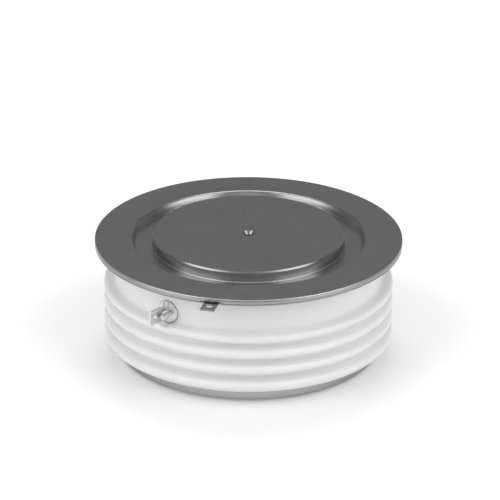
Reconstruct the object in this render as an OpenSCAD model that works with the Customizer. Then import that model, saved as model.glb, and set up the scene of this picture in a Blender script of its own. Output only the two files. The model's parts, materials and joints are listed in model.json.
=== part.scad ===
// Disc-type thyristor, clamped between two heat sinks by its flat contact faces.
// Origin: centre of the lower (anode) contact face. +Z: towards the upper (cathode) face.
// The gate terminal points along -Y. All sizes are in millimetres.

/* [Whole device] */
// Distance between the two contact faces
overall_h = 35.6; // [34:0.1:40]
// Diameter of both contact faces
contact_d = 55; // [44:0.5:56]
// Chamfer round each contact face
contact_chamfer = 0.4; // [0.1:0.05:1]
// Diameter of the centring hole in each contact face
centring_hole_d = 2; // [1.6:0.1:4]
// Depth of the centring holes
centring_hole_depth = 3; // [1.5:0.1:4]
// Countersink at the mouth of the centring holes
centring_hole_csk = 0.85; // [0.2:0.05:1]
// Depth of the lower centring hole's countersink
lower_hole_csk = 0.4; // [0.2:0.05:0.45]

/* [Rim of two welded sheets] */
// How far the rim stands out past the ceramic's smooth wall
rim_overhang = 5.8; // [4:0.1:12]
// Thickness of the upper sheet
upper_sheet_t = 0.4; // [0.3:0.05:0.7]
// Thickness of the lower sheet
lower_sheet_t = 0.95; // [0.8:0.05:1.2]
// Rounding of the rim's outer edges
rim_edge_r = 0.14; // [0.05:0.01:0.14]
// Height of the contact face above the rim
contact_above_rim = 1.2; // [0.5:0.1:3]

/* [Groove round the upper contact face] */
// Depth of the groove below the rim's top
groove_depth = 2.1; // [2.1:0.1:3]
// Clearance between the groove's outer wall and the ceramic's bore
groove_clear = 1; // [0.5:0.1:1.2]
// Inside radius of the bend at the groove's floor
groove_floor_bend_r = 0.5; // [0.3:0.05:0.6]
// Inside radius of the bend at the groove's top
groove_top_bend_r = 0.3; // [0.2:0.05:0.5]

/* [Ceramic ring] */
// Distance from the contact faces' edge to the ceramic's bore
ceramic_bore_gap = 7; // [6.8:0.1:9]
// Thickness of the smooth wall, and of the wall in the valleys between the ribs
ceramic_wall_t = 3.7; // [3:0.1:5]
// How far the ribs stand out past the smooth wall
rib_reach = 3.3; // [2.6:0.1:3.6]
// Number of ribs
rib_count = 4; // [2:1:4]
// Distance from rib to rib
rib_pitch = 4.85; // [4.7:0.05:5]
// Radius of the rounding on each rib's crest
rib_round_r = 1.3; // [0.9:0.05:1.3]
// Radius of the rounding in the valleys
valley_round_r = 1; // [0.7:0.05:1]
// Height of the lowest rib's middle above the ceramic's lower end
lowest_rib_h = 1.8; // [1.6:0.1:2.2]
// Straight height on the lowest rib's crest
lowest_rib_land = 0.35; // [0.05:0.05:0.5]
// Chamfer on the ceramic's upper outer edge
ceramic_chamfer = 0.3; // [0.1:0.05:0.5]
// How far the lower sheet of the rim stands back from the ceramic's bore
housing_setback = 0.1; // [0.05:0.05:0.5]

/* [Lower ring] */
// How far the lower ring stands inside the ceramic's smooth wall
skirt_inset = 0.6; // [0.2:0.1:1.4]
// Thickness of the lower ring's sheet
skirt_t = 0.8; // [0.5:0.05:1]
// Height of the ceramic's lower end above the anode contact face
ceramic_foot_h = 4.5; // [4:0.1:5]
// Height of the skirt's edge above the anode contact face
skirt_edge_h = 0.8; // [0.3:0.1:1]
// Inside radius of the skirt's bend
skirt_bend_r = 0.6; // [0.3:0.05:1]

/* [Pole pieces] */
// Width of the shoulder on each pole that its sheet is brazed on
shoulder_w = 1; // [0.6:0.1:1.5]
// Height of that shoulder
shoulder_h = 1.3; // [0.8:0.1:2]
// Size of the braze fillets
braze_size = 0.3; // [0.2:0.05:0.5]
// Height of the anode pole
anode_pole_h = 17.5; // [15:0.1:18]

/* [Silicon and its discs] */
// How far the silicon wafer and the disc under it reach past the contact faces' edge
wafer_overhang = 2.5; // [1.5:0.1:3]
// Thickness of the wafer
wafer_t = 0.8; // [0.5:0.05:1.1]
// Thickness of the wafer's edge below its bevel
wafer_edge_t = 0.2; // [0.1:0.05:0.3]
// Width of the wafer's bevelled edge
wafer_bevel = 1.2; // [0.5:0.1:1.5]
// Thickness of the disc under the wafer
anode_disc_t = 2.5; // [1.5:0.1:3]
// How far the disc on the wafer stays inside the contact faces' edge
cathode_disc_inset = 0.5; // [0.2:0.1:3]
// Thickness of the disc on the wafer
cathode_disc_t = 1.5; // [1:0.1:2]
// Diameter of the gate hole in the disc on the wafer
cathode_disc_hole_d = 6.4; // [5.6:0.1:8]
// How far the rubber ring reaches past the wafer
rubber_w = 1.4; // [1:0.1:1.5]
// How far the rubber ring reaches below and above the wafer
rubber_lap = 1; // [0.5:0.1:1.2]
// How far the rubber ring reaches over the wafer inside the bevel
rubber_inner_lap = 0.4; // [0.2:0.05:0.6]

/* [Centring ring] */
// Depth to which the centring ring reaches down the anode pole
centring_grip_h = 3; // [2:0.1:5]
// Height of the centring ring's collar above the anode pole
centring_collar_h = 4.8; // [4:0.1:5.2]
// Clearance between the centring ring and what it centres
centring_clear = 0.15; // [0.05:0.05:0.3]

/* [Gate contact in the cathode pole] */
// Diameter of the pocket in the cathode pole
pocket_d = 10; // [9.6:0.1:12]
// Metal left between the pocket and the centring hole above it
pole_web = 1.3; // [0.8:0.1:2]
// Wall of the insulating cup
cup_wall = 1; // [0.6:0.05:1.1]
// Clearance round the insulating cup
cup_clear = 0.1; // [0.05:0.05:0.2]
// Diameter of the contact pin's stem
pin_stem_d = 2.4; // [1.6:0.1:2.6]
// Thickness of the contact pin's head
pin_head_t = 1.8; // [1.4:0.1:2.2]
// Clearance round the contact pin
pin_clear = 0.1; // [0.05:0.05:0.2]
// Thickness of the bush's flange
bush_flange_t = 0.6; // [0.4:0.1:0.7]
// Wire diameter of the spring
spring_wire_d = 0.7; // [0.4:0.05:0.9]
// Number of turns of the spring
spring_turns = 4; // [3:0.5:4.5]
// Clearance between the spring and the cup
spring_clear = 0.4; // [0.3:0.05:0.6]

/* [Gate lead] */
// Diameter of the lead's wire
lead_d = 0.8; // [0.5:0.05:0.9]
// Clearance round the lead's wire
lead_clear = 0.03; // [0.02:0.01:0.1]
// Outer diameter of the lead's sleeve
sleeve_d = 1.8; // [1.6:0.05:1.9]
// Gap between the sleeve and the gate tube
sleeve_gap = 0.1; // [0.05:0.05:0.5]
// Width of the slot for the lead in the cathode pole
slot_w = 2.6; // [2.2:0.1:3.5]
// Height of the gate terminal's middle above the cathode pole's lower end
gate_rise = 2.7; // [2.5:0.05:2.9]
// Sideways place of the lead and its tube, from the gate terminal's middle
lead_x = 1.1; // [1:0.05:1.15]
// Height of the lead and its tube above the gate terminal's middle
lead_rise = 0; // [-0.2:0.05:0]

/* [Gate terminal] */
// Diameter of the eyelet's flange
eyelet_d = 6.5; // [6.2:0.1:7]
// Thickness of the eyelet's flange
eyelet_t = 0.8; // [0.7:0.05:1]
// Rounding of the eyelet's flange
eyelet_round_r = 0.35; // [0.1:0.05:0.35]
// Diameter of the eyelet's shank in the ceramic
eyelet_shank_d = 4.8; // [4.6:0.1:5.2]
// Depth of the flat that is ground on the ceramic for the eyelet
eyelet_seat_depth = 0.3; // [0.2:0.05:0.5]
// Width of that flat past the eyelet's flange
eyelet_seat_margin = 0.2; // [0.1:0.05:0.4]
// Outer diameter of the gate tube
tube_d = 1.7; // [1.5:0.05:1.8]
// Length of the gate tube outside the eyelet
tube_reach = 3.7; // [2:0.1:5]
// Length of the gate tube inside the ceramic's bore
tube_inner_l = 0.3; // [0.2:0.05:0.5]
// Height of the solder bead on the gate tube's end
seal_h = 0.6; // [0.3:0.05:0.8]
// Thickness of the gate blade
blade_t = 0.5; // [0.4:0.05:0.6]
// Width of the gate blade
blade_w = 4.4; // [3:0.1:4.8]
// Distance from the eyelet to the gate blade's end
blade_reach = 7.7; // [6:0.1:12]
// Height of the gate blade's lower edge below the gate terminal's middle
blade_drop = 1.85; // [0.5:0.05:2]
// Diameter of the gate blade's hole
blade_hole_d = 1.5; // [1:0.1:2]
// Distance from the blade's end to its hole
blade_hole_inset = 1.9; // [1.5:0.1:3]
// Chamfer on the blade's outer corners
blade_corner = 0.5; // [0.2:0.1:1]
// Radius of the notch in the blade's lower edge, below its hole
blade_notch_r = 0.4; // [0.2:0.05:0.6]
// Length of the blade's root past the bend
blade_root_l = 1.2; // [0.4:0.1:1.6]
// Height of the blade's root above the blade's upper edge
blade_root_rise = 0.6; // [0.05:0.05:0.6]
// Inside radius of the bend between blade and foot
blade_bend_r = 0.5; // [0.3:0.05:0.8]
// Length of the foot past the bend
foot_l = 1; // [0.6:0.1:1.2]
// Height of the foot
foot_w = 1.5; // [1:0.1:1.6]
// How far the bend reaches below the foot
bend_drop = 0.35; // [0.05:0.05:0.35]
// How far the bend reaches above the foot
bend_rise = 0.6; // [0.2:0.1:0.6]

/* [Auxiliary cathode tab] */
// Direction of the tab, in degrees from the gate terminal
tab_angle = 22.4; // [15:0.1:90]
// Width of the tab
tab_w = 4.2; // [2.8:0.1:6.3]
// Thickness of the tab and of its ring
tab_t = 0.4; // [0.3:0.05:0.6]
// Distance from the rim's edge to the tab's end
tab_reach = 4.8; // [3.5:0.1:12]
// Width of the ring under the rim that the tab is part of
tab_ring_w = 2.4; // [1.5:0.1:2.6]
// Width of the relief cut on each side of the tab
tab_relief_w = 0.6; // [0.4:0.1:1.5]
// Depth of the relief cuts from the rim's edge
tab_relief_l = 0.4; // [0.2:0.1:1.3]
// Width of the notch in the lower sheet past the relief cuts
tab_notch_over = 0.4; // [0.1:0.1:1]
// Depth of the notch from the rim's edge
tab_notch_l = 1.5; // [1:0.1:2]
// Height of the notch
tab_notch_h = 0.35; // [0.1:0.05:0.6]
// Diameter of the tab's hole
tab_hole_d = 1.8; // [1:0.1:2]
// Distance from the tab's end to its hole
tab_hole_inset = 2.8; // [1.5:0.1:3.5]
// Chamfer on the tab's outer corners
tab_corner = 0.2; // [0.1:0.1:1]

/* [Hidden] */

// Length by which a cutting shape runs past the face that it cuts
past = 1;
// Gap left where a piece is only seated against another, and least edge of a braze fillet
joint_gap = 0.02;
// Facets of a full turn, for small and for large round shapes
$fn = 96;
fn_big = 180;
// Straight pieces that an arc in the ceramic's or a fillet's section is drawn with
arc_steps = 10;

// Radii shared by several pieces
contact_r = contact_d / 2;
shoulder_r = contact_r + shoulder_w;
wafer_r = contact_r + wafer_overhang;
cathode_disc_r = contact_r - cathode_disc_inset;
ceramic_inner_r = contact_r + ceramic_bore_gap;
ceramic_wall_r = ceramic_inner_r + ceramic_wall_t;
rib_crest_r = ceramic_wall_r + rib_reach;
rim_r = ceramic_wall_r + rim_overhang;
groove_wall_r = ceramic_inner_r - groove_clear - upper_sheet_t;
skirt_r = ceramic_wall_r - skirt_inset;
tab_end_r = rim_r + tab_reach;
relief_r = rim_r - tab_relief_l;
notch_w = tab_w + 2 * (tab_relief_w + tab_notch_over);

// Heights, upwards from the anode contact face
rim_top = overall_h - contact_above_rim;
seam_h = rim_top - upper_sheet_t;
rim_bottom = seam_h - lower_sheet_t;
groove_floor = rim_top - groove_depth;
sheet_seat = groove_floor - upper_sheet_t;
anode_sheet_h = ceramic_foot_h - skirt_t;
anode_disc_top = anode_pole_h + anode_disc_t;
wafer_top = anode_disc_top + wafer_t;
cathode_pole_foot = wafer_top + cathode_disc_t;
pocket_top = overall_h - centring_hole_depth - pole_web;
gate_h = cathode_pole_foot + gate_rise;
lead_h = gate_h + lead_rise;

// Heights and radii of the ribs' arcs
lowest_crest = ceramic_foot_h + lowest_rib_h;
crest_arc_r = rib_crest_r - rib_round_r;
valley_arc_r = ceramic_wall_r + valley_round_r;
centres_apart = [valley_arc_r - crest_arc_r, rib_pitch / 2];
// Direction that a rib's flanks face, above and below the horizontal
flank_angle = atan2(centres_apart[1], centres_apart[0])
              - acos((rib_round_r + valley_round_r) / norm(centres_apart));

// Gate contact inside the pole
cup_outer_r = pocket_d / 2 - cup_clear;
cup_inner_r = cup_outer_r - cup_wall;
cup_ceiling = pocket_top - cup_wall;
pin_head_r = cup_inner_r - pin_clear;
pin_head_foot = lead_h - pin_head_t / 2;
pin_head_top = lead_h + pin_head_t / 2;
bush_top = cathode_pole_foot + bush_flange_t;
cup_foot = bush_top;
slot_top = lead_h + slot_w / 2;
lead_near_x = max(0, lead_x - lead_d / 2);
lead_start_r = sqrt(pow(pin_head_r, 2) - pow(lead_near_x, 2)) + joint_gap;
sleeve_start_r = cup_outer_r;

// Gate terminal, as distances from the axis
eyelet_seat_r = ceramic_wall_r - eyelet_seat_depth;
eyelet_face_r = eyelet_seat_r + eyelet_t;
tube_end_r = eyelet_face_r + tube_reach;
tube_start_r = ceramic_inner_r - tube_inner_l;
blade_end_r = eyelet_face_r + blade_reach;

// Gate blade, as heights above the gate terminal's middle
blade_low = -blade_drop;
blade_high = blade_low + blade_w;
bend_top = blade_high + blade_root_rise;
foot_top = bend_top - bend_rise;
foot_low = foot_top - foot_w;
bend_foot = foot_low - bend_drop;

// Lead's sleeve and bore
sleeve_end_r = tube_start_r - sleeve_gap;
lead_bore_d = lead_d + 2 * lead_clear;

// Colours
nickel = [0.62, 0.62, 0.63];
dark_nickel = [0.42, 0.42, 0.43];
alumina = [0.93, 0.93, 0.92];
molybdenum = [0.5, 0.51, 0.53];
silicon = [0.3, 0.32, 0.36];
rubber = [0.75, 0.72, 0.66];
plastic = [0.9, 0.89, 0.86];
steel = [0.7, 0.7, 0.72];
solder = [0.82, 0.82, 0.83];

// Turns a half section, drawn as radius and height, into a ring
module turned() {
    rotate_extrude($fn = fn_big) children();
}

// Rectangle from its lower left to its upper right corner
module box2(from, to) {
    translate(from) square(to - from);
}

// Points a shape drawn along +Z outwards along -Y, at the gate's height
module outwards(side = 0, h = gate_h) {
    translate([side, 0, h]) rotate([90, 0, 0]) children();
}

// Points of an arc in a section, from one direction to another
function arc(centre, r, from, to) =
    [for (i = [0 : arc_steps])
        let (a = from + (to - from) * i / arc_steps)
        centre + r * [cos(a), sin(a)]];

// Flat ring in a sheet with rounded outer edges
module rounded_rim(inner_r, foot, top) {
    box2([inner_r, foot], [rim_r - rim_edge_r, top]);
    box2([inner_r, foot + rim_edge_r], [rim_r, top - rim_edge_r]);
    for (h = [foot + rim_edge_r, top - rim_edge_r])
        translate([rim_r - rim_edge_r, h]) circle(rim_edge_r, $fn = 24);
}

// Quarter of a bend in a sheet, as a ring sector about a centre
module bend(centre, inner_r, t, quadrant) {
    size = inner_r + t;
    translate(centre) intersection() {
        difference() {
            circle(size, $fn = 48);
            circle(inner_r, $fn = 48);
        }
        rotate(90 * quadrant) square(size);
    }
}

// Centring hole with its countersink, cut downwards from height 0
module centring_hole(csk) {
    hole_r = centring_hole_d / 2;
    translate([0, 0, -centring_hole_depth])
        cylinder(r = hole_r, h = centring_hole_depth + past);
    translate([0, 0, -csk]) cylinder(r1 = hole_r, r2 = hole_r + csk, h = csk);
    cylinder(r = hole_r + csk, h = past);
}

// Half section of a pole, contact face at height 0, body upwards
module pole_section(h, shoulder_at) {
    polygon([[0, 0],
             [contact_r - contact_chamfer, 0],
             [contact_r, contact_chamfer],
             [contact_r, shoulder_at],
             [shoulder_r, shoulder_at],
             [shoulder_r, shoulder_at + shoulder_h],
             [contact_r, shoulder_at + shoulder_h],
             [contact_r, h],
             [0, h]]);
}

// Braze fillet in the corner between a pole and its sheet, corner at height 0
module fillet_section() {
    centre = [contact_r + braze_size, braze_size];
    polygon(concat([[contact_r, braze_size], [contact_r, 0], [contact_r + braze_size, 0]],
                   arc(centre, braze_size - joint_gap, 270, 180)));
}

// Upper pole: contact face above, pocket and lead slot below
module cathode_pole() color(dark_nickel) difference() {
    translate([0, 0, overall_h]) mirror([0, 0, 1]) turned()
        pole_section(overall_h - cathode_pole_foot, overall_h - sheet_seat);
    translate([0, 0, overall_h]) centring_hole(centring_hole_csk);
    translate([0, 0, cathode_pole_foot - past])
        cylinder(d = pocket_d, h = pocket_top - cathode_pole_foot + past);
    translate([lead_x - slot_w / 2, -shoulder_r - past, cathode_pole_foot - past])
        cube([slot_w, shoulder_r + past, slot_top - cathode_pole_foot + past]);
}

// Upper sheet: floor of the groove, its wall with two bends, and the rim
module cathode_flange() color(dark_nickel) turned() {
    wall_outer_r = groove_wall_r + upper_sheet_t;
    floor_bend = [groove_wall_r - groove_floor_bend_r, groove_floor + groove_floor_bend_r];
    top_bend = [wall_outer_r + groove_top_bend_r, seam_h - groove_top_bend_r];
    box2([contact_r, sheet_seat], [floor_bend[0], groove_floor]);
    bend(floor_bend, groove_floor_bend_r, upper_sheet_t, 3);
    box2([groove_wall_r, floor_bend[1]], [wall_outer_r, top_bend[1]]);
    bend(top_bend, groove_top_bend_r, upper_sheet_t, 1);
    rounded_rim(top_bend[0], seam_h, rim_top);
}

module cathode_braze() color(nickel)
    translate([0, 0, groove_floor]) turned() fillet_section();

// Lower sheet of the rim, brazed flat on the ceramic, with a notch in its edge above the tab
module housing_flange() color(nickel) difference() {
    turned() rounded_rim(ceramic_inner_r + housing_setback, rim_bottom, seam_h);
    rotate(tab_angle - 90) translate([rim_r - tab_notch_l, -notch_w / 2, rim_bottom - past])
        cube([tab_notch_l + past, notch_w, past + tab_notch_h]);
}

// Half section of the ceramic, before its lower end is cut. Every crest's arc runs into the
// valley's arc below it along a straight flank, and the lowest crest has a straight land.
module ceramic_section() {
    crests = [for (i = [rib_count - 1 : -1 : 0]) lowest_crest + i * rib_pitch];
    top_valley = [valley_arc_r, crests[0] + rib_pitch / 2];
    foot_crest = lowest_crest - lowest_rib_land;
    foot_valley = foot_crest - rib_pitch / 2;
    polygon(concat(
        [[ceramic_inner_r, rim_bottom],
         [ceramic_wall_r - ceramic_chamfer, rim_bottom],
         [ceramic_wall_r, rim_bottom - ceramic_chamfer]],
        arc(top_valley, valley_round_r, 180, 180 + flank_angle),
        [for (h = crests) if (h > lowest_crest) each concat(
            arc([crest_arc_r, h], rib_round_r, flank_angle, -flank_angle),
            arc([valley_arc_r, h - rib_pitch / 2], valley_round_r,
                180 - flank_angle, 180 + flank_angle))],
        arc([crest_arc_r, lowest_crest], rib_round_r, flank_angle, 0),
        arc([crest_arc_r, foot_crest], rib_round_r, 0, -flank_angle),
        arc([valley_arc_r, foot_valley], valley_round_r, 180 - flank_angle, 180),
        [[ceramic_inner_r, foot_valley]]));
}

// White ring: smooth wall above, ribs below, stepped hole for the eyelet
module ceramic_ring() color(alumina) difference() {
    turned() difference() {
        ceramic_section();
        box2([0, 0], [rib_crest_r + past, ceramic_foot_h]);
    }
    outwards() cylinder(d = eyelet_shank_d, h = rib_crest_r + past);
    outwards() translate([0, 0, eyelet_seat_r])
        cylinder(d = eyelet_d + 2 * eyelet_seat_margin, h = rib_crest_r);
}

// Lower sheet: flat web on the ceramic's lower end, bend and skirt
module anode_flange() color(nickel) turned() {
    corner = [skirt_r - skirt_t - skirt_bend_r, anode_sheet_h - skirt_bend_r];
    edge_r = skirt_t / 2;
    box2([contact_r, anode_sheet_h], [corner[0], ceramic_foot_h]);
    bend(corner, skirt_bend_r, skirt_t, 0);
    box2([skirt_r - skirt_t, skirt_edge_h + edge_r], [skirt_r, corner[1]]);
    translate([skirt_r - edge_r, skirt_edge_h + edge_r]) circle(edge_r, $fn = 32);
}

module anode_braze() color(nickel)
    translate([0, 0, anode_sheet_h]) mirror([0, 0, 1]) turned() fillet_section();

// Lower pole: contact face below
module anode_pole() color(dark_nickel) difference() {
    turned() pole_section(anode_pole_h, ceramic_foot_h);
    mirror([0, 0, 1]) centring_hole(lower_hole_csk);
}

module anode_disc() color(molybdenum)
    translate([0, 0, anode_pole_h]) cylinder(r = wafer_r, h = anode_disc_t, $fn = fn_big);

// Silicon disc: full width at its middle, bevelled to its upper face
module silicon_wafer() color(silicon) turned()
    polygon([[0, anode_disc_top],
             [wafer_r, anode_disc_top],
             [wafer_r, anode_disc_top + wafer_edge_t],
             [wafer_r - wafer_bevel, wafer_top],
             [0, wafer_top]]);

// Rubber ring cast round the wafer's edge
module edge_rubber() color(rubber) turned()
    polygon([[wafer_r, anode_disc_top - rubber_lap],
             [wafer_r + rubber_w, anode_disc_top - rubber_lap],
             [wafer_r + rubber_w, wafer_top + rubber_lap / 2],
             [wafer_r + rubber_w / 2, wafer_top + rubber_lap],
             [wafer_r - wafer_bevel - rubber_inner_lap, wafer_top + rubber_lap / 2],
             [wafer_r - wafer_bevel - rubber_inner_lap, wafer_top],
             [wafer_r - wafer_bevel, wafer_top],
             [wafer_r, anode_disc_top + wafer_edge_t]]);

module cathode_disc() color(molybdenum) translate([0, 0, wafer_top]) difference() {
    cylinder(r = cathode_disc_r, h = cathode_disc_t, $fn = fn_big);
    translate([0, 0, -past]) cylinder(d = cathode_disc_hole_d, h = cathode_disc_t + 2 * past);
}

// Plastic ring: grips the anode pole and the rubber ring, and fits the ceramic's bore
module centring_ring() color(plastic) turned() {
    outer_r = ceramic_inner_r - centring_clear;
    collar_r = wafer_r + rubber_w + centring_clear;
    box2([contact_r + joint_gap, anode_pole_h - centring_grip_h], [outer_r, anode_pole_h]);
    box2([collar_r, anode_pole_h - centring_grip_h], [outer_r, anode_pole_h + centring_collar_h]);
}

// Insulating cup, open below, with a slot for the lead
module gate_cup() color(plastic) difference() {
    translate([0, 0, cup_foot]) cylinder(r = cup_outer_r, h = pocket_top - cup_foot);
    translate([0, 0, cup_foot - past]) cylinder(r = cup_inner_r, h = cup_ceiling - cup_foot + past);
    translate([lead_x - slot_w / 2, -cup_outer_r - past, cup_foot - past])
        cube([slot_w, cup_outer_r + past, slot_top - cup_foot + past]);
}

// Points of one ring of the spring's wire, at an angle along the helix
function coil_ring(angle, coil_r, foot, rise, sides) =
    [for (k = [0 : sides - 1])
        let (a = 360 * k / sides, r = coil_r + cos(a) * spring_wire_d / 2)
        [r * cos(angle), r * sin(angle), foot + rise * angle / 360 + sin(a) * spring_wire_d / 2]];

// Coil spring between the cup's ceiling and the pin's head
module gate_spring() color(steel) {
    sides = 8;
    steps = 24;
    coil_r = cup_inner_r - spring_clear - spring_wire_d / 2;
    foot = pin_head_top + spring_wire_d / 2;
    rise = (cup_ceiling - pin_head_top - spring_wire_d) / spring_turns;
    rings = round(spring_turns * steps);
    points = [for (i = [0 : rings]) each coil_ring(360 * i / steps, coil_r, foot, rise, sides)];
    walls = [for (i = [0 : rings - 1]) for (k = [0 : sides - 1])
        let (a = i * sides + k, b = i * sides + (k + 1) % sides)
        [a, a + sides, b + sides, b]];
    first = [for (k = [0 : sides - 1]) k];
    last = [for (k = [sides - 1 : -1 : 0]) rings * sides + k];
    polyhedron(points = points, faces = concat(walls, [first, last]), convexity = 10);
}

// Contact pin: stem on the wafer, head under the spring
module gate_pin() color(nickel) {
    translate([0, 0, wafer_top]) cylinder(d = pin_stem_d, h = pin_head_foot - wafer_top);
    translate([0, 0, pin_head_foot]) cylinder(r = pin_head_r, h = pin_head_t);
}

// Insulating bush: sleeve in the cathode disc, flange on it
module gate_bush() color(plastic) difference() {
    union() {
        translate([0, 0, wafer_top])
            cylinder(r = cathode_disc_hole_d / 2 - pin_clear, h = cathode_disc_t);
        translate([0, 0, cathode_pole_foot]) cylinder(r = cup_outer_r, h = bush_flange_t);
    }
    translate([0, 0, wafer_top - past])
        cylinder(r = pin_stem_d / 2 + pin_clear, h = bush_top - wafer_top + 2 * past);
}

module gate_lead() color(nickel) outwards(lead_x, lead_h)
    translate([0, 0, lead_start_r]) cylinder(d = lead_d, h = tube_end_r - lead_start_r);

module lead_sleeve() color(plastic) outwards(lead_x, lead_h) difference() {
    translate([0, 0, sleeve_start_r])
        cylinder(d = sleeve_d, h = sleeve_end_r - sleeve_start_r);
    cylinder(d = lead_bore_d, h = sleeve_end_r + past);
}

// Plug in the ceramic with a rounded flange on the ground flat
module gate_eyelet() color(nickel) difference() {
    outwards() {
        rotate_extrude() {
            flange_r = eyelet_d / 2;
            square([eyelet_shank_d / 2, eyelet_face_r]);
            translate([0, eyelet_seat_r]) square([flange_r - eyelet_round_r, eyelet_t]);
            translate([0, eyelet_seat_r]) square([flange_r, eyelet_t - eyelet_round_r]);
            translate([flange_r - eyelet_round_r, eyelet_face_r - eyelet_round_r])
                circle(eyelet_round_r, $fn = 48);
        }
    }
    outwards() cylinder(d = eyelet_shank_d + past, h = ceramic_inner_r);
    outwards(lead_x, lead_h) cylinder(d = tube_d, h = eyelet_face_r + past);
}

module gate_tube() color(nickel) outwards(lead_x, lead_h) difference() {
    translate([0, 0, tube_start_r]) cylinder(d = tube_d, h = tube_end_r - tube_start_r);
    cylinder(d = lead_bore_d, h = tube_end_r + past);
}

// Solder bead on the end of the tube and of the wire, a cap of a ball
module gate_seal() color(solder) outwards(lead_x, lead_h) translate([0, 0, tube_end_r])
    rotate_extrude() intersection() {
        ball_r = (pow(tube_d / 2, 2) + pow(seal_h, 2)) / (2 * seal_h);
        translate([0, seal_h - ball_r]) circle(ball_r, $fn = 64);
        square([ball_r + past, seal_h + past]);
    }

// Outline of the gate blade past its bend, as distance from the axis and height
module blade_outline() {
    root_r = eyelet_face_r + blade_t + blade_bend_r;
    root_end_r = root_r + blade_root_l;
    hole_r = blade_end_r - blade_hole_inset;
    difference() {
        union() {
            box2([root_r, bend_foot], [root_end_r, bend_top]);
            polygon([[root_end_r - joint_gap, blade_low],
                     [blade_end_r - blade_corner, blade_low],
                     [blade_end_r, blade_low + blade_corner],
                     [blade_end_r, blade_high - blade_corner],
                     [blade_end_r - blade_corner, blade_high],
                     [root_end_r - joint_gap, blade_high]]);
        }
        translate([hole_r, (blade_low + blade_high) / 2]) circle(d = blade_hole_d, $fn = 48);
        translate([hole_r, blade_low]) circle(blade_notch_r, $fn = 32);
    }
}

// Blade in the gate's middle plane, with a bent foot on the eyelet above the tube
module gate_blade() color(nickel) translate([0, 0, gate_h]) {
    centre = [blade_bend_r, -eyelet_face_r - blade_t - blade_bend_r];
    rotate([90, 0, -90]) linear_extrude(blade_t) blade_outline();
    translate([0, 0, bend_foot]) linear_extrude(bend_top - bend_foot)
        bend(centre, blade_bend_r, blade_t, 1);
    translate([blade_bend_r, -eyelet_face_r - blade_t, foot_low])
        cube([foot_l, blade_t, foot_w]);
}

// Thin ring under the rim with the flat tab, which relief cuts part from the ring's edge
module cathode_tab() color(nickel) translate([0, 0, rim_bottom - tab_t])
    rotate(tab_angle - 90) linear_extrude(tab_t) difference() {
        half = tab_w / 2;
        union() {
            circle(rim_r, $fn = fn_big);
            polygon([[relief_r, -half],
                     [tab_end_r - tab_corner, -half],
                     [tab_end_r, -half + tab_corner],
                     [tab_end_r, half - tab_corner],
                     [tab_end_r - tab_corner, half],
                     [relief_r, half]]);
        }
        circle(rim_r - tab_ring_w, $fn = fn_big);
        for (y = [-half - tab_relief_w, half])
            translate([relief_r, y]) square([tab_relief_l + past, tab_relief_w]);
        translate([tab_end_r - tab_hole_inset, 0]) circle(d = tab_hole_d, $fn = 48);
    }

cathode_pole();
cathode_flange();
cathode_braze();
housing_flange();
ceramic_ring();
anode_flange();
anode_braze();
anode_pole();
anode_disc();
silicon_wafer();
edge_rubber();
cathode_disc();
centring_ring();
gate_cup();
gate_spring();
gate_pin();
gate_bush();
gate_lead();
lead_sleeve();
gate_eyelet();
gate_tube();
gate_seal();
gate_blade();
cathode_tab();
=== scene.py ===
"""Looks of a disc-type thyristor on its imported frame.

Metres, +Z towards the upper contact face, gate terminal towards -Y. Sizes below are in
millimetres, as on a drawing, and MM turns them into metres.
"""
import json
from math import asin, atan2, cos, degrees, pi, radians, sin, sqrt

import bpy
from mathutils import Matrix, Vector


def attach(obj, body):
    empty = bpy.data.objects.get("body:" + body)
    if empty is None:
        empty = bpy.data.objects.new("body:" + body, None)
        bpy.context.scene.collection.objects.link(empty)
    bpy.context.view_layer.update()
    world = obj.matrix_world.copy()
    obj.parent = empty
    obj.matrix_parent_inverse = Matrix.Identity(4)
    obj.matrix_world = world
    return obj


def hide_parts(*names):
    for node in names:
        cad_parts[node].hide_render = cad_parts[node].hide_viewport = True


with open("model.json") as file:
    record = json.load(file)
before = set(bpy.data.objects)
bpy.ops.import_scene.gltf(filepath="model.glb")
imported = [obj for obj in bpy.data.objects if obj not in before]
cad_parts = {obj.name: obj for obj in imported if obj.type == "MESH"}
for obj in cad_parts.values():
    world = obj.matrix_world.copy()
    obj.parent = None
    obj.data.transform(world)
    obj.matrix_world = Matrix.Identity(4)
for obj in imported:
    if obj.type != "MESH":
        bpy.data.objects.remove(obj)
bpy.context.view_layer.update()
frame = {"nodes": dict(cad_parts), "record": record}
scene = bpy.context.scene
MM = 0.001
X, Y, Z = Vector((1, 0, 0)), Vector((0, 1, 0)), Vector((0, 0, 1))

# Straight steps in a full turn of a large ring, of a small one, and degrees per step of an arc
TURN_STEPS = 256
SMALL_STEPS = 72
ARC_DEGREES = 9
# Angles past which an edge is shown sharp, and past which soften rounds it
SHARP, SOFT = radians(32), radians(40)

# ---- Camera, floor and light ----

# The view in degrees, its distance in metres, and the lens in millimetres
VIEW_AZIMUTH, VIEW_ELEVATION, VIEW_ROLL = 36.0, 23.71, 0.243
VIEW_DISTANCE, VIEW_LENS = 1.3, 327.31
VIEW_SHIFT = (0.00272, -0.02638)
RIM_TOP = 34.4
# Softboxes: azimuth and elevation in degrees, width and height in metres, watts
SOFTBOX_DISTANCE, SOFTBOX_AIM = 1.5, 20.0
SOFTBOXES = {
    "left": (-25, 31, 1.3, 1.7, 14.3),
    "right": (97, 31, 1.3, 1.7, 14.3),
    "front": (36, 30, 0.75, 0.55, 0.8),
    "back": (216, 60, 0.75, 0.55, 6),
}
# Shades of the studio, from straight down (0) over the horizon (0.5) to straight up (1)
STUDIO = [(0.0, 0.27), (0.7, 0.27), (0.8, 0.04), (0.92, 0.04), (0.97, 0.5), (1.0, 0.5)]
FLOOR_SIZE, FLOOR_PAINT = 6.0, 0.8
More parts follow.
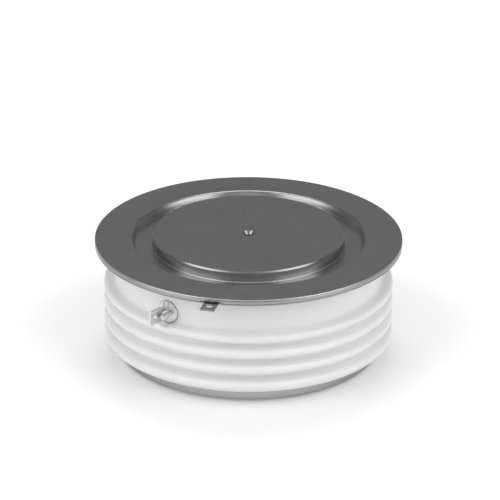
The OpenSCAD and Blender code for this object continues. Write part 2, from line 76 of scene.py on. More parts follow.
# The floor's own light, as a camera sees it and as metal and glass mirror it: its share at the
# middle, and from which distance to which (in millimetres) how much is added. Kept lower near the
# object and under it, this glow paints a shadow round its base.
SEEN, SEEN_NEAR, SEEN_FAR = 0.27, (45, 78, 0.13), (80, 400, 0.1)
MIRRORED, MIRRORED_NEAR = 0.03, (36, 43, 0.24)


def facing(azimuth, elevation, aim_mm, distance):
    """The place of a camera or lamp that looks at a point above the origin from an azimuth
    and elevation in degrees."""
    a, e = radians(azimuth), radians(elevation)
    outward = Vector((sin(a) * cos(e), -cos(a) * cos(e), sin(e)))
    turn = outward.to_track_quat("Z", "Y").to_matrix().to_4x4()
    return Matrix.Translation(Vector((0, 0, aim_mm * MM)) + outward * distance) @ turn


def make_camera():
    """The photograph's view: a long lens aimed at the middle of the rim."""
    data = bpy.data.cameras.new("camera")
    data.sensor_width = 36
    data.lens = VIEW_LENS
    data.shift_x, data.shift_y = VIEW_SHIFT
    data.clip_start, data.clip_end = 0.05, 20
    camera = bpy.data.objects.new("camera", data)
    place = facing(VIEW_AZIMUTH, VIEW_ELEVATION, RIM_TOP, VIEW_DISTANCE)
    camera.matrix_world = place @ Matrix.Rotation(radians(VIEW_ROLL), 4, "Z")
    scene.collection.objects.link(camera)
    scene.camera = camera


def softbox(name, azimuth, elevation, width, height, watts):
    """A rectangular lamp that faces the object, seen from it at an azimuth and elevation."""
    data = bpy.data.lights.new(name, "AREA")
    data.shape = "RECTANGLE"
    data.size, data.size_y = width, height
    data.energy = watts
    lamp = bpy.data.objects.new(name, data)
    lamp.matrix_world = facing(azimuth, elevation, SOFTBOX_AIM, SOFTBOX_DISTANCE)
    scene.collection.objects.link(lamp)


# ---- Shader maths ----


class Wire:
    """A socket of a material, with which maths is written as an expression."""

    def __init__(self, graph, socket):
        self.graph, self.socket = graph, socket

    def math(self, operation, a, b):
        return self.graph.node("ShaderNodeMath", {"operation": operation}, {0: a, 1: b})

    def __add__(self, other):
        return self.math("ADD", self, other)

    def __radd__(self, other):
        return self.math("ADD", other, self)

    def __sub__(self, other):
        return self.math("SUBTRACT", self, other)

    def __rsub__(self, other):
        return self.math("SUBTRACT", other, self)

    def __mul__(self, other):
        return self.math("MULTIPLY", self, other)

    def __rmul__(self, other):
        return self.math("MULTIPLY", other, self)

    def __pow__(self, other):
        return self.math("POWER", self, other)

    def __rpow__(self, other):
        return self.math("POWER", other, self)

    def limited(self, low=0.0, high=1.0):
        """The same value, never below low or above high."""
        return self.math("MINIMUM", self.math("MAXIMUM", self, low), high)

    def step(self, low, high):
        """0 below low, 1 above high, and smooth between them."""
        return self.graph.node("ShaderNodeMapRange", {"interpolation_type": "SMOOTHSTEP"},
                               {"Value": self, "From Min": low, "From Max": high})

    def rise(self, low, high, amount):
        """What is added from low to high: 0 below them, and amount above."""
        return self.step(low, high) * amount


class Graph:
    """The nodes of one material or of the world."""

    def __init__(self, owner):
        self.owner = owner
        owner.use_nodes = True
        self.tree = owner.node_tree
        self.tree.nodes.clear()

    def node(self, kind, settings=None, values=None, out=0):
        """Adds a node: its settings first, then the values or links of its sockets."""
        made = self.tree.nodes.new(kind)
        for name, value in (settings or {}).items():
            if name == "stops":
                ramp = made.color_ramp
                while len(ramp.elements) > 1:
                    ramp.elements.remove(ramp.elements[0])
                ramp.elements[0].position, ramp.elements[0].color = value[0]
                for position, colour in value[1:]:
                    ramp.elements.new(position).color = colour
            else:
                setattr(made, name, value)
        for name, value in (values or {}).items():
            socket = made.inputs[name]
            if isinstance(value, Wire):
                self.tree.links.new(value.socket, socket)
            else:
                socket.default_value = value
        return Wire(self, made.outputs[out]) if made.outputs else None

    def place_mm(self):
        """The point on the piece, in millimetres."""
        point = self.node("ShaderNodeTexCoord", out="Object")
        return self.node("ShaderNodeMapping", {}, {"Vector": point, "Scale": (1 / MM,) * 3})

    def split(self, vector):
        """The vector's three numbers."""
        apart = self.node("ShaderNodeSeparateXYZ", {}, {"Vector": vector})
        outputs = apart.socket.node.outputs
        return [Wire(self, outputs[axis]) for axis in "XYZ"]

    def noise(self, vector, size_mm, detail=3.0, roughness=0.55):
        """Noise from 0 to 1, whose patches are about size_mm across."""
        return self.node("ShaderNodeTexNoise", {},
                         {"Vector": vector, "Scale": 1 / size_mm, "Detail": detail,
                          "Roughness": roughness})

    def mix(self, factor, a, b):
        """A colour between a and b."""
        return self.node("ShaderNodeMix", {"data_type": "RGBA"},
                         {"Factor": factor, 6: a, 7: b}, out=2)

    def bump(self, height, depth_mm, below=None):
        """A surface that rises by depth_mm where height is 1, over another such surface."""
        values = {"Strength": 1.0, "Distance": depth_mm * MM, "Height": height}
        if below is not None:
            values["Normal"] = below
        return self.node("ShaderNodeBump", {}, values)


def grey(value, tint=(1, 1, 1)):
    """An even or slightly tinted grey."""
    return (value * tint[0], value * tint[1], value * tint[2], 1)


def finish_material(graph, **sockets):
    """A Principled material; keys are its sockets' names with _ for a space."""
    values = {key.replace("_", " "): value for key, value in sockets.items()}
    surface = graph.node("ShaderNodeBsdfPrincipled", {}, values)
    graph.node("ShaderNodeOutputMaterial", {}, {"Surface": surface})
    return graph.owner


def new_material(name):
    return Graph(bpy.data.materials.new(name + "_finish"))


def nickel(name, base, spread, rough, grain_mm, turned=0.0, foot=0.0, edge=0.0):
    """Satin nickel plating: fine etched grain, faint turning rings and handling smudges.
    Foot is how much paler the lowest ring is painted, a painted sheen, and edge how strong a
    painted highlight along the rim's outer top edge is."""
    graph = new_material(name)
    point = graph.place_mm()
    x, y, height = graph.split(point)
    radius = (x * x + y * y) ** 0.5
    grain = graph.noise(point, grain_mm, detail=2.0, roughness=0.6)
    cloud = graph.noise(point, 9.0, detail=4.0, roughness=0.6)
    patch = graph.noise(point, 2.6, detail=3.0, roughness=0.5)
    outward = graph.node("ShaderNodeCombineXYZ", {}, {"X": radius, "Y": 0.0, "Z": 0.0})
    rings = graph.noise(outward, 0.35, detail=3.0, roughness=0.7)
    shade = (grain - 0.5) * 0.5 + (cloud - 0.5) * 0.35 + (rings - 0.5) * turned
    colour = graph.mix((shade + 0.5).limited(), grey(base - spread), grey(base + spread))
    # Painted light: a painted sheen that pales the lowest ring, and a painted highlight along the
    # rim's outer top edge
    if foot or edge:
        inner, lower = RIM_R - HIGHLIGHT_IN, RIM_TOP - HIGHLIGHT_DOWN
        paler = ((PALER_BELOW - height).rise(0.0, PALER_FADE, foot)
                 + radius.step(inner, inner + HIGHLIGHT_FADE)
                 * height.rise(lower, lower + HIGHLIGHT_FADE, edge))
        colour = graph.mix(paler, colour, grey(1))
    roughness = (rough + (cloud - 0.5) * SMUDGE + (patch - 0.5) * SMUDGE * 0.5
                 + (grain - 0.5) * 0.06).limited(0.08, 0.9)
    normal = graph.bump(grain, ETCH_DEPTH)
    if turned:
        normal = graph.bump(rings, ETCH_DEPTH * turned, normal)
    return finish_material(graph, Base_Color=colour, Metallic=1.0,
                           Roughness=roughness, Normal=normal)


def alumina(name):
    """White glazed alumina: even, a little cloudy, with fine specks and a soft glaze."""
    graph = new_material(name)
    point = graph.place_mm()
    cloud = graph.noise(point, 14.0, detail=3.0, roughness=0.5)
    fine = graph.noise(point, 0.5, detail=3.0, roughness=0.6)
    wave = graph.noise(point, 6.0, detail=2.0)
    speck = graph.noise(point, 0.8, detail=1.0, roughness=0.4).step(0.77, 0.82)
    colour = graph.mix(cloud, grey(0.87), grey(0.9))
    colour = graph.mix(speck * 0.25, colour, grey(0.55))
    normal = graph.bump(wave, 0.006, graph.bump(fine, 0.0015))
    return finish_material(graph, Base_Color=colour,
                           Roughness=(0.42 + (cloud - 0.5) * 0.12).limited(0.2, 0.8),
                           Coat_Weight=(0.25 + (fine - 0.5) * 0.2).limited(), Coat_Roughness=0.3,
                           Subsurface_Weight=0.5, Subsurface_Scale=2.5 * MM,
                           Subsurface_Radius=(1, 1, 1), Normal=normal)


def bright_metal(name, base, rough, size_mm, depth_mm):
    """Smooth bright metal that has flowed: braze, solder, drawn wire."""
    graph = new_material(name)
    point = graph.place_mm()
    flow = graph.noise(point, size_mm, detail=3.0, roughness=0.5)
    fine = graph.noise(point, size_mm / 6, detail=2.0, roughness=0.5)
    colour = graph.mix(flow, grey(base * 0.85), grey(base * 1.1))
    return finish_material(graph, Base_Color=colour, Metallic=1.0,
                           Roughness=(rough + (fine - 0.5) * 0.15).limited(0.05, 0.9),
                           Normal=graph.bump(flow, depth_mm))


def body_material(name, dark, light, rough, size_mm, metallic=0.0, depth_mm=0.01):
    """Lapped disc, moulded plastic or cast rubber: two tones, with a fine surface."""
    graph = new_material(name)
    point = graph.place_mm()
    cloud = graph.noise(point, size_mm * 6)
    fine = graph.noise(point, size_mm, roughness=0.6)
    colour = graph.mix(((cloud + fine) * 0.5).step(0.3, 0.7), dark, light)
    return finish_material(graph, Base_Color=colour, Metallic=metallic,
                           Roughness=(rough + (fine - 0.5) * 0.2).limited(0.1, 0.95),
                           Normal=graph.bump(fine, depth_mm))


# ---- Modelling: sections drawn corner by corner, spun, filled and cut ----


def deselect():
    if bpy.context.mode != "OBJECT":
        bpy.ops.object.mode_set(mode="OBJECT")
    bpy.ops.object.select_all(action="DESELECT")


def only(piece):
    deselect()
    piece.select_set(True)
    bpy.context.view_layer.objects.active = piece


def edit_all(piece, mode="VERT"):
    """Edit mode on one piece, all of it selected."""
    only(piece)
    bpy.ops.object.mode_set(mode="EDIT")
    bpy.ops.mesh.select_mode(type=mode)
    bpy.ops.mesh.select_all(action="SELECT")


def pick_faces(piece, wanted):
    """Selects the faces whose centre (in mm) and normal the test accepts."""
    bpy.ops.object.mode_set(mode="EDIT")
    bpy.ops.mesh.select_mode(type="FACE")
    bpy.ops.mesh.select_all(action="DESELECT")
    bpy.ops.object.mode_set(mode="OBJECT")
    for face in piece.data.polygons:
        face.select = wanted(face.center / MM, face.normal)
    bpy.ops.object.mode_set(mode="EDIT")


def soften(piece, width):
    """Rounds all sharp edges a little."""
    edit_all(piece, "EDGE")
    bpy.ops.mesh.select_all(action="DESELECT")
    bpy.ops.mesh.edges_select_sharp(sharpness=SOFT)
    bpy.ops.mesh.bevel(offset=width * MM, segments=2, affect="EDGES", clamp_overlap=True)
    bpy.ops.object.mode_set(mode="OBJECT")


def done(piece):
    """Outward normals, smooth faces and sharp creases."""
    edit_all(piece, "FACE")
    bpy.ops.mesh.normals_make_consistent(inside=False)
    bpy.ops.object.mode_set(mode="OBJECT")
    bpy.ops.object.shade_smooth_by_angle(angle=SHARP)
    return piece


class Drawing:
    """A line drawn in a plane with edit-mode extrusions and spins. A point is a distance
    across and a distance up, in millimetres."""

    def __init__(self, name, start, origin=(0, 0, 0), across=X, up=Z):
        self.origin, self.across, self.up = Vector(origin), Vector(across), Vector(up)
        self.normal = self.across.cross(self.up)
        self.at = Vector(start)
        deselect()
        bpy.ops.mesh.primitive_plane_add(size=MM, location=self.place(self.at))
        self.piece = bpy.context.object
        self.piece.name = self.piece.data.name = name
        bpy.ops.object.transform_apply(location=True, rotation=True, scale=True)
        bpy.ops.object.mode_set(mode="EDIT")
        bpy.ops.mesh.select_mode(type="VERT")
        bpy.ops.mesh.select_all(action="SELECT")
        bpy.ops.mesh.merge(type="CENTER")

    def place(self, point):
        return (self.origin + self.across * point[0] + self.up * point[1]) * MM

    def lines(self, *points):
        """Straight lines from corner to corner."""
        for point in points:
            step = self.place(point) - self.place(self.at)
            bpy.ops.mesh.extrude_region_move(TRANSFORM_OT_translate={"value": step})
            self.at = Vector(point)
        return self

    def arc(self, centre, turn, step=ARC_DEGREES):
        """An arc about a centre, anticlockwise where turn is positive, in degrees."""
        steps = max(2, round(abs(turn) / step))
        bpy.ops.mesh.spin(steps=steps, angle=radians(turn), center=self.place(centre),
                          axis=-self.normal)
        arm = self.at - Vector(centre)
        arm.rotate(Matrix.Rotation(radians(turn), 2))
        self.at = Vector(centre) + arm
        return self

    def circle(self, centre, radius, vertices=48):
        """A closed circle apart from the line, such as a hole's edge."""
        bpy.ops.mesh.primitive_circle_add(
            vertices=vertices, radius=radius * MM, location=self.place(centre),
            rotation=self.normal.to_track_quat("Z", "Y").to_euler())

    def close(self):
        """Joins the last corner to the first one."""
        bpy.ops.mesh.select_all(action="SELECT")
        bpy.ops.mesh.remove_doubles(threshold=1e-7)

    def turned(self, steps=TURN_STEPS):
        """Spins the section once round its up axis."""
        self.close()
        bpy.ops.mesh.spin(steps=steps, angle=2 * pi, center=self.origin * MM, axis=self.up,
                          use_auto_merge=True)
        bpy.ops.mesh.select_all(action="SELECT")
        bpy.ops.mesh.remove_doubles(threshold=2e-7)
        bpy.ops.object.mode_set(mode="OBJECT")
        return done(self.piece)

    def plate(self, thickness):
        """Fills the outline round its holes and gives it a thickness along the normal."""
        self.close()
        bpy.ops.mesh.fill(use_beauty=True)
        bpy.ops.mesh.extrude_region_move(
            TRANSFORM_OT_translate={"value": self.normal * thickness * MM})
        bpy.ops.object.mode_set(mode="OBJECT")
        return done(self.piece)


def cylinder(name, radius, start, end, steps=SMALL_STEPS):
    """A cutter between two points, in millimetres."""
    start, end = Vector(start), Vector(end)
    deselect()
    bpy.ops.mesh.primitive_cylinder_add(
        vertices=steps, radius=radius * MM, depth=(end - start).length * MM,
        location=(start + end) / 2 * MM,
        rotation=(end - start).to_track_quat("Z", "Y").to_euler())
    cutter = bpy.context.object
    cutter.name = name
    bpy.ops.object.transform_apply(location=True, rotation=True, scale=True)
    return cutter


def block(name, low, high):
    """A cutter between two corners, in millimetres."""
    low, high = Vector(low), Vector(high)
    deselect()
    bpy.ops.mesh.primitive_cube_add(size=MM, location=(low + high) / 2 * MM)
    cutter = bpy.context.object
    cutter.name = name
    cutter.scale = high - low
    bpy.ops.object.transform_apply(location=True, rotation=True, scale=True)
    return cutter


def cut(piece, *cutters):
    """Takes the cutters out of a piece."""
    for cutter in cutters:
        only(piece)
        modifier = piece.modifiers.new("cut", "BOOLEAN")
        modifier.operation, modifier.solver, modifier.object = "DIFFERENCE", "EXACT", cutter
        bpy.ops.object.modifier_apply(modifier=modifier.name)
        bpy.data.objects.remove(cutter)
    return done(piece)


# ---- Sizes, in millimetres, as in the part ----

HEIGHT = 35.6
CONTACT_R = 27.5
EDGE = 0.4
HOLE_R, HOLE_DEPTH, HOLE_CSK, LOWER_CSK = 1.0, 3.0, 0.85, 0.4
SHOULDER_R, SHOULDER_H = 28.5, 1.3
UPPER_T, LOWER_T = 0.4, 0.95
RIM_R, RIM_EDGE = 44.0, 0.19
SEAM = RIM_TOP - UPPER_T
RIM_FOOT = SEAM - LOWER_T
GROOVE_FLOOR = 32.3
LIP_R, FLOOR_BEND, TOP_BEND, WALL_SLOPE = 33.8, 0.5, 0.3, radians(66)
BRAZE = 0.3
BORE_R, WALL_R, CREST_R, WALL_EDGE = 34.5, 38.2, 41.5, 0.3
SHEET_GAP = 0.1
RIB_ROUND, VALLEY_ROUND = 1.3, 1.0
RIB_PITCH, RIB_COUNT = 4.85, 4
FOOT = 4.5
LOWEST_CREST, LAND = FOOT + 1.8, 0.35
SKIRT_R, SKIRT_T, SKIRT_EDGE, SKIRT_BEND = 37.6, 0.8, 0.8, 0.6
POLE_FOOT, POCKET_R, POCKET_TOP = 22.3, 5.0, 31.3
ANODE_TOP = 17.5
GATE_H = POLE_FOOT + 2.7
LEAD_X, LEAD_H = 1.1, GATE_H
SLOT_W = 2.6
SEAT_R, EYELET_T, EYELET_R, EYELET_ROUND, SHANK_R = 37.9, 0.8, 3.25, 0.35, 2.4
SEAT_GAP, SHANK_GAP, TUBE_GAP, TUBE_EDGE = 0.2, 0.01, 0.005, 0.06
FACE_R = SEAT_R + EYELET_T
TUBE_R, TUBE_BORE_R, TUBE_START, TUBE_END = 0.85, 0.43, BORE_R - 0.3, FACE_R + 3.7
SEAL_H = 0.6
BLADE_T, BLADE_BEND, BLADE_END = 0.5, 0.5, FACE_R + 7.7
BLADE_LOW, BLADE_HIGH = -1.85, 2.55
BLADE_ROOT, BLADE_CORNER, BLADE_NOTCH, BLADE_SOFT = 1.2, 0.5, 0.4, 0.05
BLADE_HOLE_R, BLADE_HOLE_BACK = 0.75, 1.9
BEND_TOP = BLADE_HIGH + 0.6
FOOT_TOP, FOOT_W, FOOT_L = BEND_TOP - 0.6, 1.5, 1.0
BEND_FOOT = FOOT_TOP - FOOT_W - 0.35
TAB_ANGLE, TAB_HALF, TAB_T, TAB_END = radians(22.4 - 90), 2.1, 0.4, RIM_R + 4.8
TAB_HOLE_R, TAB_HOLE_BACK, TAB_CORNER, TAB_SOFT, TAB_RING = 0.9, 2.8, 0.2, 0.08, RIM_R - 2.4
RELIEF_W, RELIEF_R = 0.6, RIM_R - 0.4
NOTCH_SIDE, NOTCH_R, NOTCH_H = TAB_HALF + RELIEF_W + 0.4, RIM_R - 1.5, 0.35
TAB_OUT = Vector((cos(TAB_ANGLE), sin(TAB_ANGLE), 0))
TAB_ASIDE = Vector((-sin(TAB_ANGLE), cos(TAB_ANGLE), 0))
# Depth of the nickel's etched grain, strength of its smudges, and the height below which the
# lowest ring gets a painted sheen, paler than its plating
ETCH_DEPTH, SMUDGE = 0.0015, 0.02
PALER_BELOW, PALER_FADE = 12.0, 2.0
# How far in and down from the rim's outer top edge a painted highlight reaches, and how fast it
# fades
HIGHLIGHT_IN, HIGHLIGHT_DOWN, HIGHLIGHT_FADE = 0.2, 0.25, 0.1


def cathode_pole():
    """Upper pole: contact face, centring hole, shoulder, and the gate's pocket below."""
    top, seat = HEIGHT, GROOVE_FLOOR - UPPER_T
    draw = Drawing("cathode_pole_disc", (0, top - HOLE_DEPTH))
    draw.lines((HOLE_R, top - HOLE_DEPTH), (HOLE_R, top - HOLE_CSK), (HOLE_R + HOLE_CSK, top),
               (CONTACT_R - EDGE, top), (CONTACT_R, top - EDGE), (CONTACT_R, seat),
               (SHOULDER_R, seat), (SHOULDER_R, seat - SHOULDER_H),
               (CONTACT_R, seat - SHOULDER_H), (CONTACT_R, POLE_FOOT), (POCKET_R, POLE_FOOT),
               (POCKET_R, POCKET_TOP), (0, POCKET_TOP))
    pole = draw.turned()
    slot = block("slot", (LEAD_X - SLOT_W / 2, -SHOULDER_R - 1, POLE_FOOT - 1),
                 (LEAD_X + SLOT_W / 2, 0, LEAD_H + SLOT_W / 2))
    return cut(pole, slot)


def anode_pole():
    """Lower pole: its contact face is the part's lowest."""
    draw = Drawing("anode_pole_disc", (0, HOLE_DEPTH))
    draw.lines((HOLE_R, HOLE_DEPTH), (HOLE_R, LOWER_CSK), (HOLE_R + LOWER_CSK, 0),
               (CONTACT_R - EDGE, 0), (CONTACT_R, EDGE), (CONTACT_R, FOOT),
               (SHOULDER_R, FOOT), (SHOULDER_R, FOOT + SHOULDER_H),
               (CONTACT_R, FOOT + SHOULDER_H), (CONTACT_R, ANODE_TOP), (0, ANODE_TOP))
    return draw.turned()


def rim_edge(draw, top, foot):
    """Rounded outer edge of a sheet of the rim, from its top to its foot."""
    edge = RIM_R - RIM_EDGE
    draw.lines((edge, top)).arc((edge, top - RIM_EDGE), -90)
    draw.lines((RIM_R, foot + RIM_EDGE)).arc((edge, foot + RIM_EDGE), -90)


def upper_sheet():
    """Pressed sheet: floor of the groove, its steep wall with two bends, and the rim."""
    low, high, turn = FLOOR_BEND, TOP_BEND + UPPER_T, degrees(WALL_SLOPE)
    across, up = cos(WALL_SLOPE), sin(WALL_SLOPE)
    rise = RIM_TOP - GROOVE_FLOOR - (low + high) * (1 - across)
    top_in = (LIP_R, RIM_TOP - high)
    floor_in = (LIP_R - (low + high) * up - rise * across / up, GROOVE_FLOOR + low)
    draw = Drawing("pressed_sheet", (CONTACT_R, GROOVE_FLOOR - UPPER_T))
    draw.lines((CONTACT_R, GROOVE_FLOOR), (floor_in[0], GROOVE_FLOOR)).arc(floor_in, turn, 4)
    draw.lines((top_in[0] - high * up, top_in[1] + high * across)).arc(top_in, -turn, 4)
    rim_edge(draw, RIM_TOP, SEAM)
    draw.lines((top_in[0], SEAM)).arc(top_in, turn)
    low += UPPER_T
    draw.lines((floor_in[0] + low * up, floor_in[1] - low * across)).arc(floor_in, -turn)
    draw.lines((CONTACT_R, GROOVE_FLOOR - UPPER_T))
    return draw.turned()


def lower_sheet():
    """Flat sheet of the rim, on the ceramic's end, with a notch in its edge above the tab."""
    inner = BORE_R + SHEET_GAP
    draw = Drawing("rim_lower_sheet", (inner, RIM_FOOT)).lines((inner, SEAM))
    rim_edge(draw, SEAM, RIM_FOOT)
    draw.lines((inner, RIM_FOOT))
    sheet = draw.turned()
    notch = Drawing("notch", (NOTCH_R, -NOTCH_SIDE), origin=(0, 0, RIM_FOOT - 1),
                    across=TAB_OUT, up=TAB_ASIDE)
    notch.lines((RIM_R + 1, -NOTCH_SIDE), (RIM_R + 1, NOTCH_SIDE), (NOTCH_R, NOTCH_SIDE),
                (NOTCH_R, -NOTCH_SIDE))
    return cut(sheet, notch.plate(1 + NOTCH_H))


def fillet(name, corner, side):
    """Braze fillet: side is 1 where it lies above its corner and -1 below."""
    r, h = CONTACT_R, corner
    feather = 0.02
    draw = Drawing(name, (r, h + side * BRAZE))
    draw.lines((r, h), (r + BRAZE, h), (r + BRAZE, h + side * feather))
    draw.arc((r + BRAZE, h + side * BRAZE), -side * 90)
    draw.lines((r, h + side * BRAZE))
    return draw.turned()


def ceramic():
    """Ribbed ring: every crest's arc runs into the valley's arc along a straight flank."""
    crest_r, valley_r = CREST_R - RIB_ROUND, WALL_R + VALLEY_ROUND
    half = RIB_PITCH / 2
    apart = sqrt((valley_r - crest_r) ** 2 + half ** 2)
    reach = sqrt(apart ** 2 - (RIB_ROUND + VALLEY_ROUND) ** 2)
    flank = (degrees(atan2(half, valley_r - crest_r))
             - degrees(atan2(reach, RIB_ROUND + VALLEY_ROUND)))
    top = LOWEST_CREST + (RIB_COUNT - 1) * RIB_PITCH
    face = (cos(radians(flank)), sin(radians(flank)))
    draw = Drawing("ribbed_ring", (BORE_R, FOOT)).lines(
        (BORE_R, RIM_FOOT), (WALL_R - WALL_EDGE, RIM_FOOT), (WALL_R, RIM_FOOT - WALL_EDGE),
        (WALL_R, top + half)).arc((valley_r, top + half), flank)
    for rib in range(RIB_COUNT):
        crest = top - rib * RIB_PITCH
        draw.lines((crest_r + RIB_ROUND * face[0], crest + RIB_ROUND * face[1]))
        draw.arc((crest_r, crest), -flank)
        if rib == RIB_COUNT - 1:
            crest -= LAND
            draw.lines((CREST_R, crest))
        draw.arc((crest_r, crest), -flank)
        valley = crest - half
        draw.lines((valley_r - VALLEY_ROUND * face[0], valley + VALLEY_ROUND * face[1]))
        if rib < RIB_COUNT - 1:
            draw.arc((valley_r, valley), 2 * flank)
        else:
            foot_angle = degrees(asin(min(1, (FOOT - valley) / VALLEY_ROUND)))
            draw.arc((valley_r, valley), flank - foot_angle)
    draw.lines((BORE_R, FOOT))
    ring = draw.turned()
    seat = cylinder("seat", EYELET_R + SEAT_GAP, (0, -SEAT_R, GATE_H), (0, -SEAT_R - 6, GATE_H))
    hole = cylinder("hole", SHANK_R, (0, -20, GATE_H), (0, -SEAT_R - 1, GATE_H))
    return cut(ring, seat, hole)


def skirt():
    """Lower ring: flat web under the ceramic, bend and skirt."""
    bend = (SKIRT_R - SKIRT_T - SKIRT_BEND, FOOT - SKIRT_T - SKIRT_BEND)
    edge = SKIRT_T / 2
    draw = Drawing("lower_ring", (CONTACT_R, FOOT - SKIRT_T))
    draw.lines((CONTACT_R, FOOT), (bend[0], FOOT)).arc(bend, -90)
    draw.lines((SKIRT_R, SKIRT_EDGE + edge)).arc((SKIRT_R - edge, SKIRT_EDGE + edge), -180)
    draw.lines((SKIRT_R - SKIRT_T, bend[1])).arc(bend, 90)
    draw.lines((CONTACT_R, FOOT - SKIRT_T))
    return draw.turned()


def gate_drawing(name, start, side=0.0, height=GATE_H):
    """A section whose up axis points outwards through the gate."""
    return Drawing(name, start, origin=(side, 0, height), across=X, up=-Y)


def eyelet():
    """Plug in the ceramic with a rounded flange, and the tube's hole through it."""
    draw = gate_drawing("eyelet_plug", (0, BORE_R))
    shank = SHANK_R - SHANK_GAP
    draw.lines((shank, BORE_R), (shank, SEAT_R), (EYELET_R, SEAT_R),
               (EYELET_R, FACE_R - EYELET_ROUND))
    draw.arc((EYELET_R - EYELET_ROUND, FACE_R - EYELET_ROUND), 90)
    draw.lines((0, FACE_R))
    plug = draw.turned(SMALL_STEPS)
    return cut(plug, cylinder("hole", TUBE_R, (LEAD_X, -20, LEAD_H), (LEAD_X, -50, LEAD_H), 48))


def gate_tube():
    """Tube through the eyelet, with a slightly broken outer edge."""
    start, outer = TUBE_START, TUBE_R - TUBE_GAP
    draw = gate_drawing("gate_pipe", (TUBE_BORE_R, start), LEAD_X, LEAD_H)
    draw.lines((outer, start), (outer, TUBE_END - TUBE_EDGE), (TUBE_R - TUBE_EDGE, TUBE_END),
               (TUBE_BORE_R, TUBE_END), (TUBE_BORE_R, start))
    return draw.turned(48)


def seal():
    """Solder bead: a cap of a ball on the tube's end."""
    ball = (TUBE_R ** 2 + SEAL_H ** 2) / (2 * SEAL_H)
    reach = degrees(atan2(TUBE_R, ball - SEAL_H))
    draw = gate_drawing("solder_bead", (0, TUBE_END), LEAD_X, LEAD_H)
    draw.lines((TUBE_R, TUBE_END)).arc((0, TUBE_END + SEAL_H - ball), reach)
    return draw.turned(48)


def gate_blade():
    """Blade in the gate's middle plane, bent to a foot on the eyelet above the tube."""
    root = FACE_R + BLADE_T + BLADE_BEND
    root_end = root + BLADE_ROOT
    corner, hole = BLADE_CORNER, BLADE_END - BLADE_HOLE_BACK
    draw = Drawing("gate_lug", (root, BEND_FOOT), origin=(0, 0, GATE_H), across=-Y, up=Z)
    draw.lines((root_end, BEND_FOOT), (root_end, BLADE_LOW), (hole - BLADE_NOTCH, BLADE_LOW))
    draw.arc((hole, BLADE_LOW), -180)
    draw.lines((BLADE_END - corner, BLADE_LOW), (BLADE_END, BLADE_LOW + corner),
               (BLADE_END, BLADE_HIGH - corner), (BLADE_END - corner, BLADE_HIGH),
               (root_end, BLADE_HIGH), (root_end, BEND_TOP), (root, BEND_TOP),
               (root, BEND_FOOT))
    draw.circle((hole, (BLADE_LOW + BLADE_HIGH) / 2), BLADE_HOLE_R)
    lug = draw.plate(BLADE_T)
    only(lug)
    pick_faces(lug, lambda centre, normal: normal.y > 0.99 and centre.y > -root - 0.01)
    bpy.ops.mesh.spin(steps=10, angle=radians(90), axis=Z,
                      center=Vector((BLADE_BEND, -root, 0)) * MM)
    foot_low, foot_top = GATE_H + FOOT_TOP - FOOT_W, GATE_H + FOOT_TOP
    for height in (foot_low, foot_top):
        bpy.ops.mesh.select_all(action="SELECT")
        bpy.ops.mesh.bisect(plane_co=Z * height * MM, plane_no=Z)
    pick_faces(lug, lambda centre, normal: normal.x > 0.9 and foot_low < centre.z < foot_top
               and centre.x > BLADE_BEND - 0.02)
    bpy.ops.mesh.extrude_region_move(TRANSFORM_OT_translate={"value": X * FOOT_L * MM})
    bpy.ops.object.mode_set(mode="OBJECT")
    soften(lug, BLADE_SOFT)
    return done(lug)


def cathode_tab():
    """Thin ring under the rim, with the flat tab between two relief cuts in its edge."""
    side, corner = TAB_HALF + RELIEF_W, TAB_CORNER
    edge = sqrt(RIM_R ** 2 - side ** 2)
    draw = Drawing("cathode_lug", (edge, side), origin=(0, 0, RIM_FOOT - TAB_T),
                   across=TAB_OUT, up=TAB_ASIDE)
    draw.arc((0, 0), 360 - 2 * degrees(asin(side / RIM_R)), 360 / TURN_STEPS)
    draw.lines((RELIEF_R, -side), (RELIEF_R, -TAB_HALF), (TAB_END - corner, -TAB_HALF),
               (TAB_END, -TAB_HALF + corner), (TAB_END, TAB_HALF - corner),
               (TAB_END - corner, TAB_HALF), (RELIEF_R, TAB_HALF), (RELIEF_R, side), (edge, side))
    draw.circle((0, 0), TAB_RING, TURN_STEPS)
    draw.circle((TAB_END - TAB_HOLE_BACK, 0), TAB_HOLE_R)
    tab = draw.plate(TAB_T)
    soften(tab, TAB_SOFT)
    return done(tab)


# ---- Materials and what wears them ----

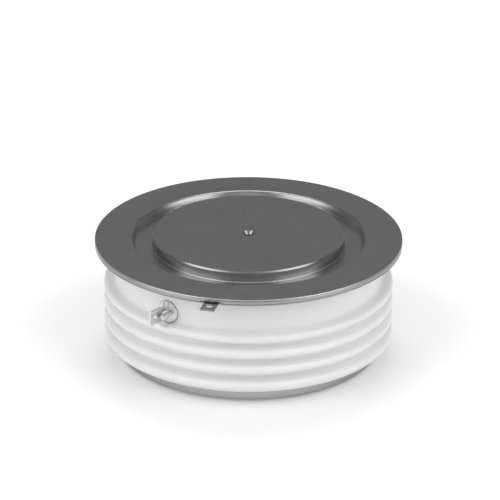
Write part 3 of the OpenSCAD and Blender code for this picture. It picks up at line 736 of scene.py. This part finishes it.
# Tints: a cool metal, and the darker and paler tone of cream rubber and of ivory plastic
COOL = (0.9, 1, 1.15)
CREAM, PALE_CREAM = (1, 0.93, 0.82), (1, 0.95, 0.86)
IVORY, PALE_IVORY = (1, 0.98, 0.93), (1, 0.99, 0.95)
FINISHES = {
    "pole_nickel": (nickel, dict(base=0.405, spread=0.065, rough=0.26, grain_mm=0.24,
                                 turned=0.25)),
    # foot paints a paler sheen on the lowest ring, edge a painted highlight on the rim's top edge
    "sheet_nickel": (nickel, dict(base=0.38, spread=0.06, rough=0.28, grain_mm=0.2,
                                  turned=0.1, foot=0.09, edge=0.3)),
    "braze": (bright_metal, dict(base=0.5, rough=0.28, size_mm=1.2, depth_mm=0.02)),
    "alumina": (alumina, {}),
    "molybdenum": (body_material, dict(dark=grey(0.2), light=grey(0.27), rough=0.4,
                                       size_mm=0.2, metallic=1.0)),
    "silicon": (body_material, dict(dark=grey(0.07, COOL), light=grey(0.1, COOL), rough=0.3,
                                    size_mm=0.15, metallic=0.6, depth_mm=0.003)),
    "edge_rubber": (body_material, dict(dark=grey(0.45, CREAM), light=grey(0.55, PALE_CREAM),
                                        rough=0.55, size_mm=0.4)),
    "insulator": (body_material, dict(dark=grey(0.72, IVORY), light=grey(0.8, PALE_IVORY),
                                      rough=0.45, size_mm=0.5)),
    "spring_steel": (bright_metal, dict(base=0.42, rough=0.3, size_mm=0.5, depth_mm=0.003)),
    "terminal_plating": (nickel, dict(base=0.74, spread=0.05, rough=0.38, grain_mm=0.12)),
    "tab_plating": (nickel, dict(base=0.34, spread=0.045, rough=0.36, grain_mm=0.12)),
    "solder": (bright_metal, dict(base=0.75, rough=0.4, size_mm=0.9, depth_mm=0.004)),
}
finishes = {slot: make(slot, **values) for slot, (make, values) in FINISHES.items()}

slot_of = {part["node"]: part["material_slot"] for part in frame["record"]["subparts"]}
for node, thing in frame["nodes"].items():
    thing.data.materials.clear()
    thing.data.materials.append(finishes[slot_of[node]])

make_camera()

new_pieces = {
    "cathode_pole": cathode_pole(),
    "anode_pole": anode_pole(),
    "cathode_flange": upper_sheet(),
    "housing_flange": lower_sheet(),
    "cathode_braze": fillet("upper_braze", GROOVE_FLOOR, 1),
    "anode_braze": fillet("lower_braze", FOOT - SKIRT_T, -1),
    "ceramic_ring": ceramic(),
    "anode_flange": skirt(),
    "gate_eyelet": eyelet(),
    "gate_tube": gate_tube(),
    "gate_seal": seal(),
    "gate_blade": gate_blade(),
    "cathode_tab": cathode_tab(),
}
for node, piece in new_pieces.items():
    piece.data.materials.clear()
    piece.data.materials.append(finishes[slot_of[node]])
    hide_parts(node)
    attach(piece, "root")


def make_floor():
    """Plain pale floor: lit and shaded as any floor, and white where nothing shades it. Its own
    glow, which is only seen, grows with the distance from the object: the dimmer glow near and
    under it is a painted shadow."""
    deselect()
    bpy.ops.mesh.primitive_plane_add(size=FLOOR_SIZE, location=(0, 0, 0))
    floor = bpy.context.object
    floor.name = "floor"
    graph = new_material("floor")
    path = graph.node("ShaderNodeLightPath")
    seen = path.socket.node.outputs
    x, y, _ = graph.split(graph.place_mm())
    radius = (x * x + y * y) ** 0.5
    looked_at = Wire(graph, seen["Is Camera Ray"])
    mirrored = Wire(graph, seen["Is Glossy Ray"]) + Wire(graph, seen["Is Transmission Ray"])
    # Painted shadow: less glow near the object, and under it in what metal mirrors
    share = (looked_at * (radius.rise(*SEEN_NEAR) + radius.rise(*SEEN_FAR) + SEEN)
             + mirrored.limited() * (radius.rise(*MIRRORED_NEAR) + MIRRORED))
    paint = graph.node("ShaderNodeBsdfDiffuse", {}, {"Color": grey(FLOOR_PAINT)})
    white = graph.node("ShaderNodeEmission", {}, {"Color": grey(1), "Strength": 1.0})
    glow = graph.node("ShaderNodeMixShader", {}, {0: share, 2: white})
    both = graph.node("ShaderNodeAddShader", {}, {0: paint, 1: glow})
    graph.node("ShaderNodeOutputMaterial", {}, {"Surface": both})
    floor.data.materials.append(graph.owner)


def make_world():
    """Studio round the floor: dim walls, darker above them, and a paler ceiling."""
    world = scene.world or bpy.data.worlds.new("studio")
    scene.world = world
    graph = Graph(world)
    height = graph.split(graph.node("ShaderNodeTexCoord", out="Generated"))[2]
    stops = [(place, grey(shade)) for place, shade in STUDIO]
    shade = graph.node("ShaderNodeValToRGB", {"stops": stops}, {"Fac": height * 0.5 + 0.5})
    glow = graph.node("ShaderNodeBackground", {}, {"Color": shade, "Strength": 1.0})
    graph.node("ShaderNodeOutputWorld", {}, {"Surface": glow})


make_floor()
make_world()
for name, values in SOFTBOXES.items():
    softbox(name, *values)
scene.view_settings.view_transform = "Standard"
